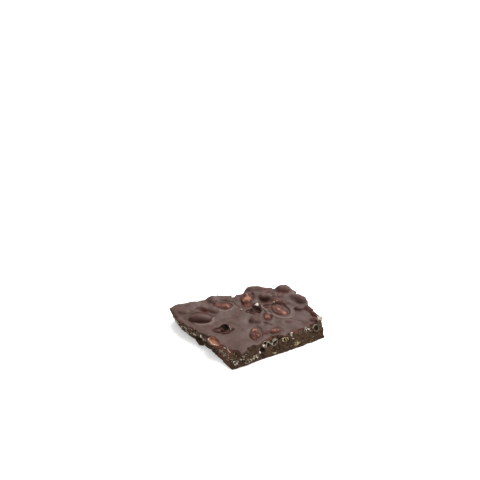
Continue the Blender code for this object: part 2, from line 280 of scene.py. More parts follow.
# Grains so deep that the pool only swells over them, and hollows where the height is
# negative: centre, half length and width, turn, height
DEEP_GRAINS = (
    (-5.9, -0.4, 2.6, 2.0, -31, 0.45),
    (3.7, -7.9, 2.6, 2.0, 10, 0.5),
    (-8.7, -8.9, 3.0, 2.0, 35, 0.25),
    (-11.3, -16.0, 2.6, 2.0, -19, 0.3),
    (-0.9, 3.7, 3.6, 2.2, 24, 0.3),
    (-19.5, -0.6, 3.4, 2.0, -74, 0.3),
    (18.0, -9.0, 3.2, 2.0, -40, 0.3),
    (-15.4, 12.6, 5.4, 3.0, -31, 1.1),
    (-10.4, 13.6, 4.4, 2.8, -31, 0.8),
    (-21.0, 17.6, 3.6, 2.6, -31, 0.6),
    (-18.0, 20.4, 7.0, 2.6, -8, 0.40),
    (12.0, 14.8, 5.6, 3.4, -24, 1.3),
    (22.8, 8.6, 4.6, 4.2, -30, 1.3),
    (24.8, 1.6, 3.2, 3.0, -60, 0.9),
    (17.4, 6.6, 4.4, 3.0, -30, 0.7),
    (0.6, 15.4, 4.0, 2.6, -50, 0.5),
    (3.4, -8.1, 1.3, 0.9, 0, -0.45),
    (-0.1, -2.2, 2.2, 1.3, 55, -0.9),
    (22.5, -11.5, 0.9, 0.6, -30, -0.25),
    (12.6, -11.6, 0.8, 0.5, -30, -0.25),
    (-13.4, 11.8, 2.0, 1.5, -60, -0.75),
    (-22.6, 11.8, 1.4, 1.0, -60, -0.45),
    (13.2, 7.4, 2.6, 1.5, -31, -1.35),
    (17.2, 0.4, 1.2, 0.7, -30, -0.25),
    (-4.4, 4.8, 1.4, 0.9, 0, -0.18),
    (-7.0, -6.6, 1.6, 1.0, 30, -0.12),
    (20.6, -1.6, 1.5, 0.8, 10, -0.3),
    (16.0, 13.8, 1.6, 0.9, -20, -0.5),
    (17.4, 9.2, 1.4, 0.8, 60, -0.4),
)


def near_box(centre, reach):
    """The grid's slices within reach of a point, and the offsets from it there."""
    spans, offsets = [], []
    for i, axis in enumerate((X, Y, Z)):
        first, last = np.searchsorted(axis, (centre[i] - reach, centre[i] + reach))
        spans.append(slice(first, last))
        offsets.append(axis[first:last] - centre[i])
    return tuple(spans), np.stack(np.meshgrid(*offsets, indexing="ij"), axis=-1)


def egg_distance(offsets, turn, size):
    """Distance to an ellipsoid of full sizes, whose axes are the columns of turn."""
    local = offsets @ turn
    half = np.array(size) / 2
    reach = np.linalg.norm(local / half, axis=-1) + 1e-6
    slope = np.linalg.norm(local / half**2, axis=-1) + 1e-6
    return reach * (reach - 1) / slope


def at_grid(field, points):
    """A field's values at points, from the eight grid points round each."""
    place = np.clip((points - LOW) / STEP, 0, np.array(field.shape) - 2)
    cell = place.astype(int)
    part = place - cell
    total = np.zeros(points.shape[:-1])
    for corner in itertools.product((0, 1), repeat=3):
        weight = np.prod(np.where(corner, part, 1 - part), axis=-1)
        total += weight * field[tuple(np.moveaxis(cell + corner, -1, 0))]
    return total


def grain_distance(offsets, turn, size):
    """Distance to a puffed grain: an ellipsoid, a little pinched round its waist."""
    local = offsets @ turn
    waist = 1 + WAIST_PINCH * np.exp(-((local[..., 0] / (WAIST_LENGTH * size[0])) ** 2))
    pinched = np.stack((local[..., 0], local[..., 1] * waist, local[..., 2] * waist), axis=-1)
    return egg_distance(pinched, np.eye(3), size)


def spun(degrees, axis="Z"):
    """A turn about one axis, as a 3 by 3 array."""
    return np.array(Matrix.Rotation(math.radians(degrees), 3, axis))


def plan_reach(x, y, half_length, half_width, turn):
    """How far out each grid column lies, as a share of an oval's own reach."""
    dx, dy = X[:, None] - x, Y[None, :] - y
    c, s = math.cos(math.radians(turn)), math.sin(math.radians(turn))
    return np.hypot((c * dx + s * dy) / half_length, (c * dy - s * dx) / half_width)


def dab(x, y, half_length, half_width, turn=0):
    """1 at a spot in plan, and falling smoothly to 0 past an oval reach."""
    return np.exp(-plan_reach(x, y, half_length, half_width, turn) ** 2)


def close_to(gap):
    """1 at the surface of a field, and falling to 0 a little way off it."""
    return np.clip(1.5 - np.abs(gap) / COAT_DEPTH, 0, 1)


def grain_height(width, lift):
    """How tall a grain is: round, but flattened where it hardly stands above the pool."""
    return min(HEIGHT_SHARE * width, FLAT_HEIGHT + FLAT_SLOPE * lift)


for x, y, half_length, half_width, turn, height in DEEP_GRAINS:
    level += height * dab(x, y, half_length, half_width, turn)
for x, y, length, width, turn, lift, _, groove, _ in COATED_GRAINS:
    sunk = 1 - min(lift / (grain_height(width, lift) / 2), 1)
    foot = math.sqrt(1 - sunk**2)
    out = (plan_reach(x, y, length / 2, width / 2, turn) - foot) * width / 2
    level -= groove * np.exp(-((out / GROOVE_WIDTH) ** 2))
    level += LIP_SHARE * groove * np.exp(-(((out - LIP_OUT) / LIP_WIDTH) ** 2))
carved = np.zeros(level.shape)
for x0, y0, x1, y1, half_width, depth in CREASES:
    ends = np.array(((x0, y0), (x1, y1)))
    crease = depth * np.exp(-((plan_distance(ends) / half_width) ** 2))
    carved = np.where(np.abs(crease) > np.abs(carved), crease, carved)
level -= carved
# A mask for the painted highlight: a pale line along the ridges, fullest where they stand tallest
pale = np.clip(-carved / RIDGE_HIGHLIGHT_HEIGHT, 0, 1)

lumpiness = sum(size * relief(seed, feature, X, Y, Z) for seed, feature, size in LUMP_UNEVENNESS)
wrinkles = sum(size * np.abs(relief(seed, feature, X, Y, Z)) for seed, feature, size in WRINKLES)
skin = Z - level[:, :, None]
coat = np.zeros(skin.shape)
over_rim = []
for grain in COATED_GRAINS + RIM_GRAINS:
    x, y, length, width, turn, lift, fillet, _, thin = grain
    size = (length, width, grain_height(width, lift))
    centre = (x, y, THICKNESS + lift - size[2] / 2)
    box, offsets = near_box(centre, length / 2 + 2 * fillet)
    streaks = at_grid(wrinkles, offsets @ spun(turn) * STREAK_SCALE + (x, y, STREAK_LEVEL))
    gap = grain_distance(offsets, spun(turn), size) + lumpiness[box]
    gap += STREAK_DEPTH * thin * streaks
    skin[box] = melded(skin[box], gap, fillet)
    crown = np.clip(offsets[..., 2] / size[2] * CROWN_RISE - CROWN_FROM * lift / size[2], 0, 1)
    bare = np.clip(MOST_BARE - COVERED_BY_STREAKS * streaks, LEAST_BARE, MOST_BARE)
    coat[box] = np.maximum(coat[box], thin * (close_to(gap) * crown * bare))
    if grain in RIM_GRAINS:
        over_rim.append((box, gap, fillet))
for x, y, reach in TOASTED_SPOTS:
    coat *= 1 + TOASTED_GAIN * dab(x, y, reach, reach)[:, :, None]
for x, y, reach, thin in RUDDY_SPOTS:
    coat = np.maximum(coat, thin * dab(x, y, reach, reach)[:, :, None])

# The breaks
# The sheet snapped dry and dull, in fine crags, with the crack running through some of
# the grains and round others.

CRAGS = ((31, 5.0, 0.45), (32, 2.1, 0.40))
SHARP_CRAGS = ((33, 1.3, 0.85), (34, 0.65, 0.55))
SHARP_CRAG_MIDDLE = 0.35
RIM_EDGE = 0.25
RIM_CHIPS = (35, 1.9, 1.9)
RIM_CHIP_FROM = 3.0
RIM_CHIP_RISE = 3.0
OUTWARD = 0.25
FOOT_CALM = 0.35
FOOT_CALM_HEIGHT = 2.4

# A stretch of the back rim that broke smoothly: its middle, half length and width, turn
CALM_RIM = (-19.0, 22.6, 11.0, 3.6, -8)
CALM_SHARE = 0.75
crag = sum(size * relief(seed, feature, X, Y, Z) for seed, feature, size in CRAGS)
for seed, feature, size in SHARP_CRAGS:
    crag += size * (np.abs(relief(seed, feature, X, Y, Z)) - SHARP_CRAG_MIDDLE)
near_top = np.clip((Z - RIM_CHIP_FROM) / RIM_CHIP_RISE, 0, 1) ** 2
calm_rim = dab(*CALM_RIM)[:, :, None]
roughened = FOOT_CALM + (1 - FOOT_CALM) * np.clip(Z / FOOT_CALM_HEIGHT, 0, 1)
crag = crag * roughened * (1 - CALM_SHARE * calm_rim)
crag -= OUTWARD
seed, feature, size = RIM_CHIPS
rim_chips = size * np.clip(relief(seed, feature, X, Y), 0, 1)[:, :, None] * near_top
side = side + crag + rim_chips * (1 - calm_rim)

# Larger chips out of the rim: centre x, y, z, length, width, depth, turn
CHIPS = (
    (-9.0, -20.4, 6.6, 5.6, 4.0, 4.4, 10),
    (-3.8, -19.4, 6.8, 7.6, 3.0, 5.0, 20),
    (1.8, -19.0, 6.8, 7.4, 5.4, 4.0, 0),
    (9.4, -19.9, 6.6, 5.0, 2.6, 2.6, -10),
    (14.6, -19.5, 6.6, 6.4, 2.8, 3.2, 8),
    (20.6, -19.3, 6.6, 4.6, 2.6, 3.4, -20),
    (-18.4, -20.0, 6.8, 6.0, 4.6, 5.0, 45),
    (-20.0, -14.2, 6.9, 8.4, 4.6, 3.0, -78),
    (-23.6, -0.4, 6.4, 5.6, 2.8, 4.4, -78),
    (-25.6, 8.4, 6.4, 5.0, 1.8, 3.0, -82),
    (-21.9, 0.8, 3.4, 2.2, 2.4, 2.0, -80),
)
CHIP_ROUGHNESS = 0.7
CHIP_EDGE = 0.3
OVER_RIM = 1.1
for x, y, z, length, width, depth, turn in CHIPS:
    box, offsets = near_box((x, y, z), length)
    chip = egg_distance(offsets, spun(turn), (length, width, depth))
    side[box] = common(side[box], -(chip + CHIP_ROUGHNESS * crag[box]), CHIP_EDGE)
bark = common(skin, side, RIM_EDGE)
for box, gap, fillet in over_rim:
    bark[box] = melded(bark[box], np.maximum(gap, side[box] - OVER_RIM), fillet)

FOOT_CRUMB = (-21.2, 1.2, 1.3)
FOOT_CRUMB_SIZE = (3.8, 4.6, 2.9)
FOOT_CRUMB_REACH = 3.0
FOOT_CRUMB_ROUGHNESS = 1.3
FOOT_CRUMB_FILLET = 0.5
box, offsets = near_box(FOOT_CRUMB, FOOT_CRUMB_REACH)
crumb = egg_distance(offsets, np.eye(3), FOOT_CRUMB_SIZE) + FOOT_CRUMB_ROUGHNESS * crag[box]
bark[box] = melded(bark[box], crumb, FOOT_CRUMB_FILLET)

# The burst bubbles
# Two groups of bubbles and a few pinholes broke at the top as the chocolate set. They left
# ragged pits, painted dark as shade, with torn lumps of chocolate standing in the larger ones.

# Centre x, y, z, length, width, depth, turn
PITS = (
    (-11.9, -1.6, 6.2, 5.4, 3.6, 6.0, 50),
    (-14.6, -1.6, 6.4, 4.8, 3.8, 2.8, -25),
    (-13.4, -4.4, 6.7, 5.6, 2.8, 2.2, -15),
    (-9.9, -4.2, 6.5, 3.2, 2.0, 2.0, 30),
    (5.0, 2.8, 6.5, 5.8, 5.0, 4.4, 20),
    (7.2, 4.6, 6.3, 5.2, 4.0, 4.4, 49),
    (3.6, 3.6, 6.6, 4.2, 3.4, 3.2, 20),
    (10.3, 13.0, 7.8, 1.2, 1.2, 2.4, 0),
    (8.4, 6.0, 6.8, 2.0, 1.4, 1.2, -30),
)
PIT_RAGGEDNESS = 0.5
MOST_RAGGED = 2.0
PIT_CRAG = 0.25
PIT_EDGE = 0.3
FAR_OFF = 9.0
pit_gap = np.full(bark.shape, FAR_OFF)
for x, y, z, length, width, depth, turn in PITS:
    box, offsets = near_box((x, y, z), length)
    ragged = min(MOST_RAGGED, PIT_RAGGEDNESS * width) * (lumpiness[box] + PIT_CRAG * crag[box])
    pit = egg_distance(offsets, spun(turn), (length, width, depth)) + ragged
    pit_gap[box] = np.minimum(pit_gap[box], pit)
bark = common(bark, -pit_gap, PIT_EDGE)

# The lumps left standing in the pits: centre x, y, z, length, width, depth, turn
PIT_LUMPS = (
    (-14.9, -1.5, 5.0, 3.2, 2.6, 2.0, -30),
    (-13.2, -1.6, 5.4, 2.2, 0.9, 1.4, -70),
    (-9.9, -3.2, 5.9, 3.2, 0.9, 1.3, 30),
    (-11.6, -4.2, 5.6, 2.4, 1.2, 1.2, -10),
    (-13.0, -5.6, 6.2, 3.6, 0.7, 0.9, -20),
    (5.2, 1.4, 5.0, 2.6, 1.8, 1.4, 0),
    (8.9, 5.4, 5.2, 2.2, 1.2, 1.8, 30),
    (3.0, 4.2, 5.0, 2.0, 1.4, 1.4, 30),
)
PIT_LUMP_FILLET = 0.35
PIT_LUMP_COAT = 0.2
for x, y, z, length, width, depth, turn in PIT_LUMPS:
    box, offsets = near_box((x, y, z), length)
    lump = egg_distance(offsets, spun(turn), (length, width, depth)) + lumpiness[box]
    bark[box] = melded(bark[box], lump, PIT_LUMP_FILLET)
    coat[box] = np.maximum(coat[box], PIT_LUMP_COAT * close_to(lump))

# The split grain
# One grain lies split open at the left rim. Its husk stands up as a thin bright line round
# a shallow bowl of toasted crumb.

SPLIT_GRAIN = (-20.2, -7.7, 6.1)
SPLIT_GRAIN_SIZE = (6.4, 3.2, 2.3)
SPLIT_GRAIN_TURN = -84
CUP_WALL = 1.3
CUP_TOP = -0.1
CUP_REACH = 5
CUP_ROUGHNESS = 0.5
CUP_FILLET = 0.5
BOWL_WRINKLES = 0.8
BOWL_DEEPER = 0.3
BOWL_EDGE = 0.2
BOWL_COAT = 1.9
BOWL_RIM = 0.5
box, offsets = near_box(SPLIT_GRAIN, CUP_REACH)
cup_size = np.array(SPLIT_GRAIN_SIZE) + CUP_WALL
cup = egg_distance(offsets, spun(SPLIT_GRAIN_TURN), cup_size) + CUP_ROUGHNESS * crag[box]
bark[box] = melded(bark[box], np.maximum(cup, offsets[..., 2] - CUP_TOP), CUP_FILLET)
bowl = grain_distance(offsets, spun(SPLIT_GRAIN_TURN), SPLIT_GRAIN_SIZE)
bowl += BOWL_WRINKLES * wrinkles[box] - BOWL_DEEPER
bark[box] = common(bark[box], -bowl, BOWL_EDGE)
coat[box] = np.maximum(coat[box], BOWL_COAT * close_to(bowl))

# The bowl counts as top and not as break, so that it takes the colours of the top
side[box] = np.where(bowl < BOWL_RIM, np.minimum(side[box], skin[box] - 1), side[box])

# The cut grains
# Where the crack went through a grain, its crisp cells lie open in the break: cream or
# golden walls round dark holes. Each is a foam of cells grown in the grain's own grid.

CELL_STEP = 0.14
SMALL_EDGE = 0.08
PROUD = 0.12
SINK = 0.35
CLOSE_HOLD = 0.08
SOCKET_EDGE = 0.15

# How far apart the bumps are and how deep they go, on the husk, the walls and the cut
# edge. On the walls the depth is a share of their thickness.
HUSK_BUMPS = (0.7, 0.28)
WALL_WEAR = (0.5, 0.9)
CUT_RAGGEDNESS = (0.55, 0.22)

# Where the middles of the cells may lie: the spread and the back are shares of the grain's
# half size, and the front is millimetres ahead of its sunk middle. The spacing is in mean
# cells, and is cut down to this share after each try.
CELL_SPREAD = 0.72
CELL_BACK = 0.5
CELL_FRONT = 0.3
CELL_SPACING = 1.3
CELL_CROWDING = 0.98
CELL_EDGE = 0.1

# x and y near the spot, height, length, thickness, tilt in degrees, cells, wall, how
# yellow it is, and the seed of its shape
CUT_GRAINS = (
    (-17.6, -20.3, 2.7, 3.0, 2.0, 40, 2, 0.10, -0.10, 500),
    (-14.6, -20.4, 3.9, 2.6, 2.2, -30, 3, 0.15, 0.30, 101),
    (-12.4, -20.4, 1.7, 3.8, 1.9, 10, 4, 0.18, 0.35, 502),
    (-8.7, -20.4, 1.95, 3.6, 2.0, -4, 5, 0.20, 0.25, 503),
    (-4.9, -19.8, 3.7, 3.4, 2.8, 20, 1, 0.15, 0.30, 504),
    (-2.0, -19.4, 5.0, 3.6, 2.5, 30, 2, 0.17, 0.2, 505),
    (1.3, -19.4, 4.9, 3.6, 2.6, -16, 2, 0.17, 0.0, 506),
    (0.3, -20.6, 0.9, 1.6, 0.9, 10, 2, 0.30, 1.0, 107),
    (6.3, -19.4, 4.7, 3.6, 2.3, 12, 2, 0.28, 0.95, 508),
    (9.6, -18.9, 5.5, 2.0, 2.0, 60, 3, 0.22, 0.15, 509),
    (10.9, -20.2, 1.7, 3.4, 2.6, 25, 9, 0.26, 0.80, 510),
    (16.6, -18.6, 5.1, 2.8, 2.0, -40, 2, 0.20, 0.05, 111),
    (21.8, -18.8, 4.5, 3.3, 3.1, 0, 1, 0.26, 0.12, 112),
    (19.4, -20.0, 2.0, 1.0, 0.8, 0, 1, 0.25, 0.1, 113),
    (-24.6, 15.5, 3.2, 4.2, 2.2, 10, 5, 0.17, 0.1, 114),
    (-23.6, 8.6, 2.2, 3.8, 2.2, -15, 4, 0.17, 0.15, 115),
    (-22.4, 3.7, 3.8, 2.2, 1.2, 0, 2, 0.15, 0.2, 116),
    (-21.4, -1.4, 4.0, 2.2, 1.4, 30, 2, 0.15, 0.2, 117),
    (-19.6, -13.4, 3.4, 3.8, 2.0, 24, 4, 0.16, 0.35, 118),
    (27.0, -9.0, 3.6, 4.4, 2.8, 15, 5, 0.18, 0.4, 119),
    (27.6, -3.0, 2.4, 3.8, 2.6, -30, 4, 0.20, 0.7, 120),
    (28.0, 2.6, 4.2, 4.2, 2.6, 10, 5, 0.18, 0.2, 121),
    (27.0, 8.0, 2.6, 4.0, 2.4, -20, 4, 0.18, 0.5, 122),
    (24.2, 11.8, 3.6, 4.6, 2.8, 30, 5, 0.18, 0.3, 123),
    (19.0, 15.2, 2.4, 3.6, 2.4, -10, 4, 0.22, 0.8, 124),
    (13.2, 18.0, 3.4, 4.4, 2.6, 20, 5, 0.18, 0.3, 125),
    (8.4, 17.2, 2.4, 3.2, 2.2, 0, 3, 0.20, 0.6, 126),
    (1.2, 17.8, 3.6, 4.6, 2.8, -25, 5, 0.18, 0.4, 127),
    (-4.0, 21.0, 2.6, 3.8, 2.6, 15, 4, 0.18, 0.2, 128),
    (-9.8, 20.9, 3.8, 4.4, 2.4, -15, 5, 0.20, 0.7, 129),
    (-16.0, 22.2, 2.6, 4.0, 2.6, 25, 4, 0.18, 0.3, 130),
    (-20.0, 23.0, 4.0, 3.6, 2.4, -20, 4, 0.18, 0.5, 131),
    (-24.4, 19.6, 2.6, 3.4, 2.2, 10, 3, 0.18, 0.3, 132),
)


def on_break(x, y, height):
    """The break's surface near a point, and its axes: along it, into it and up it."""
    outline = CORNERS[:, 2:] + (CORNERS[:, :2] - CORNERS[:, 2:]) * height / THICKNESS
    ends = np.roll(outline, -1, axis=0)
    along = ends - outline
    share = ((np.array((x, y)) - outline) * along).sum(axis=1) / (along**2).sum(axis=1)
    spots = outline + along * np.clip(share, 0, 1)[:, None]
    nearest = np.hypot(spots[:, 0] - x, spots[:, 1] - y).argmin()
    tangent = along[nearest] / np.linalg.norm(along[nearest])
    inward = np.array((-tangent[1], tangent[0]))
    stand_out = (CORNERS[nearest, :2] - CORNERS[nearest, 2:]) @ inward
    up = np.array((*(inward * stand_out), THICKNESS))
    up /= np.linalg.norm(up)
    tangent = np.array((*tangent, 0.0))
    axes = np.stack((tangent, np.cross(up, tangent), up), axis=1)
    spot = np.array((*spots[nearest], height))
    for _ in range(2):
        spot = spot + axes[:, 1] * at_grid(side, spot[None])[0]
    return spot, axes


def foam(rng, size, cells, wall, step):
    """A cut grain's field in its own grid, with its axes: it is cut open towards -Y."""
    half = np.array(size) / 2
    spans = [np.arange(-h - 3 * step, h + 3 * step, step) for h in half]
    spans[1] = spans[1][spans[1] > -SINK - PROUD - 5 * step]
    places = np.stack(np.meshgrid(*spans, indexing="ij"), axis=-1)
    uneven = relief(rng.integers(1 << 30), HUSK_BUMPS[0], *spans)
    worn = relief(rng.integers(1 << 30), WALL_WEAR[0], *spans)
    egg = egg_distance(places, np.eye(3), size) + HUSK_BUMPS[1] * uneven
    middles = []
    spacing = CELL_SPACING * (np.prod(half) / cells) ** (1 / 3)
    while len(middles) < cells:
        middle = rng.uniform(-CELL_SPREAD, CELL_SPREAD, 3) * half
        middle[1] = rng.uniform(-SINK - CELL_FRONT, CELL_BACK * half[1])
        if all(np.linalg.norm(middle - other) > spacing for other in middles):
            middles.append(middle)
        spacing *= CELL_CROWDING
    gaps = np.sort([np.linalg.norm(places - middle, axis=-1) for middle in middles], axis=0)

    # A grain of one cell has no inner walls, only its husk
    between = (gaps[1] - gaps[0]) / 2 if cells > 1 else gaps[0] + 1
    thickness = wall * (1 + WALL_WEAR[1] * worn)
    hole = common(thickness / 2 - between, egg + thickness, CELL_EDGE)
    ragged = CUT_RAGGEDNESS[1] * relief(
        rng.integers(1 << 30), CUT_RAGGEDNESS[0], spans[0], spans[2]
    )
    cut = -(places[..., 1] + SINK + PROUD) + ragged[:, None, :]
    return np.maximum(common(egg, cut, SMALL_EDGE), -hole), spans


def skinned(field, low, step):
    """The surface where a field is 0: its points, and its faces as rows of four."""
    grid = openvdb.FloatGrid(1.0)
    grid.copyFromArray(np.ascontiguousarray(field, np.float32))
    points, _, quads = grid.convertToPolygons(0.0, 0.0)
    return points * step + low, quads[:, ::-1]


def joined_bits(points, faces):
    """For each point, the number of the joined bit of surface that it belongs to."""
    bit = np.arange(len(points))
    before = bit + 1
    while (bit != before).any():
        before = bit.copy()
        np.minimum.at(bit, faces, before[faces].min(axis=1)[:, None])
        bit = bit[bit]
    return bit


def kept_only(points, faces, kept):
    """The points of the bits that are kept, and their faces, numbered afresh."""
    renumbered = np.cumsum(kept) - 1
    return points[kept], renumbered[faces[kept[faces[:, 0]]]]


def add_rice(pile, points, faces, yellow, deep):
    """Adds a bit of rice to a pile, its faces numbered on from those before it."""
    start = sum(len(rows) for rows in pile["points"])
    pile["points"].append(points)
    pile["faces"].append(faces + start)
    pile["yellow"].append(np.full(len(points), yellow))
    pile["deep"].append(np.broadcast_to(deep, len(points)))


cut_rice = {"points": [], "faces": [], "yellow": [], "deep": []}
for x, y, height, length, thickness, tilt, cells, wall, yellow, seed in CUT_GRAINS:
    spot, axes = on_break(x, y, height)
    turn = axes @ spun(tilt, "Y")
    centre = spot + turn[:, 1] * SINK
    size = (length, thickness, thickness)
    box, offsets = near_box(centre, length / 2 + 1)
    socket = egg_distance(offsets, turn, size) + CLOSE_HOLD
    bark[box] = common(bark[box], -socket, SOCKET_EDGE)
    field, spans = foam(np.random.default_rng(seed), size, cells, wall, CELL_STEP)
    points, faces = skinned(field, [s[0] for s in spans], CELL_STEP)

    # Walls thinner than a step break up: only the bits that reach the chocolate are kept
    bit = joined_bits(points, faces)
    nearest = np.full(len(points), np.inf)
    np.minimum.at(nearest, bit, at_grid(bark, points @ turn.T + centre))
    points, faces = kept_only(points, faces, nearest[bit] < 0)
    deep = points[:, 1] + SINK + PROUD
    add_rice(cut_rice, points @ turn.T + centre, faces, yellow, deep)
bark = np.maximum(bark, -Z)

# The split grain's husk, whose ragged upper edge stands up at the outer side of its bowl
HUSK = 0.18
HUSK_STEP = 0.08
HUSK_UNEVENNESS = (8, 0.9, 0.12)
HUSK_WHITENESS = -1.0
HUSK_SIDE = 0.7
HUSK_TOP = 0.05
HUSK_FOOT = -0.35
HUSK_SIDE_RAGGEDNESS = 2
HUSK_TOP_RAGGEDNESS = 1.5
half = np.array(SPLIT_GRAIN_SIZE) / 2 + 4 * HUSK_STEP
spans = [np.arange(-h, h, HUSK_STEP) for h in half]
places = np.stack(np.meshgrid(*spans, indexing="ij"), axis=-1)
seed, feature, size = HUSK_UNEVENNESS
uneven = size * relief(seed, feature, *spans)
egg = grain_distance(places, np.eye(3), SPLIT_GRAIN_SIZE) + uneven
outer_side = HUSK_SIDE - places[..., 1] + HUSK_SIDE_RAGGEDNESS * uneven
top = places[..., 2] - HUSK_TOP + HUSK_TOP_RAGGEDNESS * uneven
bottom = HUSK_FOOT - places[..., 2]
shell = np.maximum(egg, -HUSK - egg)
husk = np.maximum(shell, np.maximum(outer_side, np.maximum(top, bottom)))
points, faces = skinned(husk, [s[0] for s in spans], HUSK_STEP)
placed = points @ spun(SPLIT_GRAIN_TURN + 180).T + SPLIT_GRAIN
add_rice(cut_rice, placed, faces, HUSK_WHITENESS, 0.0)


def meshed(name, points, faces, **values):
    """A scene object from points in drawing millimetres, with a value at each point."""
    data = bpy.data.meshes.new(name)
    placed = (points - (*DRAWING_MIDDLE, 0)) * MM
    data.from_pydata(placed.tolist(), [], faces.tolist())
    for key, numbers in values.items():
        data.attributes.new(key, "FLOAT", "POINT").data.foreach_set("value", np.float32(numbers))
    data.shade_smooth()
    made = bpy.data.objects.new(name, data)
    bpy.context.scene.collection.objects.link(made)
    return made


class Link:
    """A socket in a material. Sums written on it add their Math nodes."""

    def __init__(self, tree, socket=None):
        self.tree = tree
        self.socket = socket

    def node(self, kind, settings, values, output=0):
        """Adds a node: its settings first, then the values or links of its sockets."""
        made = self.tree.nodes.new(kind)
        for name, setting in settings.items():
            setattr(made, name, setting)
        for key, value in values.items():
            if isinstance(value, Link):
                self.tree.links.new(value.socket, made.inputs[key])
            else:
                made.inputs[key].default_value = value
        return Link(self.tree, made.outputs[output])

    def math(self, operation, *values):
        return self.node("ShaderNodeMath", {"operation": operation}, dict(enumerate(values)))

    def __add__(self, other):
        return self.math("ADD", self, other)

    def __sub__(self, other):
        return self.math("SUBTRACT", self, other)

    def __rsub__(self, other):
        return self.math("SUBTRACT", other, self)

    def __mul__(self, other):
        return self.math("MULTIPLY", self, other)

    __radd__ = __add__
    __rmul__ = __mul__

    def ramp(self, start, end):
        """0 where this is start, 1 where it is end, and smooth between."""
        settings = {"interpolation_type": "SMOOTHSTEP"}
        return self.node("ShaderNodeMapRange", settings, {0: self, 1: start, 2: end})

    def blend(self, low, high):
        """A colour: low where this is 0, and high where it is 1."""
        return self.node("ShaderNodeMix", {"data_type": "RGBA"}, {0: self, 6: low, 7: high}, 2)

    def measure(self, name):
        """A value that the mesh carries at its points."""
        return self.node("ShaderNodeAttribute", {"attribute_name": name}, {}, "Fac")

    def speckle(self, per_mm, detail=2.0, roughness=0.5):
        """Noise with this many bumps in a millimetre."""
        place = self.node("ShaderNodeTexCoord", {}, {}, "Object")
        values = {"Vector": place, "Scale": per_mm / MM, "Detail": detail, "Roughness": roughness}
        return self.node("ShaderNodeTexNoise", {}, values)


def finish(piece, material_name, values):
    """Gives a piece its material: plain values, or links, on the shader's sockets."""
    material = bpy.data.materials.new(material_name)
    material.use_nodes = True
    tree = material.node_tree
    shader = tree.nodes["Principled BSDF"]
    for key, value in values(Link(tree)).items():
        if isinstance(value, Link):
            tree.links.new(value.socket, shader.inputs[key])
        else:
            shader.inputs[key].default_value = value
    piece.data.materials.append(material)


# The chocolate
# One skin over the whole sculpture. The poured top is satin, the breaks are dull and
# grainy, the flat underside takes the breaks' colours, and thin places show toasted rice.

BREAK_BLEND = 0.3
PIT_REACH = 0.3
LUMP_RISE = 1.2
EDGE_DEPTH = 0.9
STEEP_GAIN = 2.5
TRAY_GAP = 0.02
BUMP_HEIGHT = 0.3

# The field may hold specks that hang free: only the main skin is kept
points, faces = skinned(bark, LOW, STEP)
bit = joined_bits(points, faces)
points, faces = kept_only(points, faces, bit == np.bincount(bit).argmax())
broken = np.clip((at_grid(side, points) - at_grid(skin, points)) / BREAK_BLEND + 0.5, 0, 1)
pool = np.broadcast_to(level[:, :, None], bark.shape)
slopes = [at_grid(part, points) for part in np.gradient(bark, STEP)]
upright = slopes[2] / np.linalg.norm(slopes, axis=0)
chocolate_bark = meshed(
    "poured_chocolate",
    points,
    faces,
    broken=broken,
    thin=at_grid(coat, points),
    pitted=np.clip(1 - np.abs(at_grid(pit_gap, points)) / PIT_REACH, 0, 1),
    raised=np.clip((points[:, 2] - at_grid(pool, points)) / LUMP_RISE, 0, 1),
    edge=np.clip(1 + at_grid(skin, points) / EDGE_DEPTH, 0, 1),
    steep=np.clip(STEEP_GAIN * (1 - upright), 0, 1),
    pale=at_grid(np.broadcast_to(pale[:, :, None], bark.shape), points),
)

# One flat face closes the underside, with a sharp edge round it
flat_below = bmesh.new()
flat_below.from_mesh(chocolate_bark.data)
tray_faces = [f for f in flat_below.faces if max(v.co.z for v in f.verts) < TRAY_GAP * MM]
bmesh.ops.delete(flat_below, geom=tray_faces, context="FACES")
open_edges = [e for e in flat_below.edges if e.is_boundary]
filled = bmesh.ops.holes_fill(flat_below, edges=open_edges)["faces"]
for edge in open_edges:
    edge.smooth = False
bmesh.ops.triangulate(flat_below, faces=filled)
flat_below.to_mesh(chocolate_bark.data)
flat_below.free()

POURED = (0.074, 0.0335, 0.0235, 1)
POURED_DARK = (0.042, 0.0170, 0.0108, 1)
# Painted highlight laid along the ridges
RIDGE_HIGHLIGHT = (0.125, 0.082, 0.066, 1)
REDDISH = (0.054, 0.0185, 0.0135, 1)
# Painted shade for steep slopes, which fall dark under the light
STEEP_SLOPE_SHADE = (0.047, 0.0188, 0.0136, 1)
RUDDY = (0.058, 0.0160, 0.0115, 1)
BROKEN = (0.092, 0.051, 0.028, 1)
BROKEN_DARK = (0.018, 0.009, 0.0055, 1)
GLOWING = (0.118, 0.044, 0.031, 1)
TOASTED = (0.29, 0.132, 0.078, 1)
# Painted shade for the insides of the pits
PIT_SHADE = (0.042, 0.016, 0.011, 1)


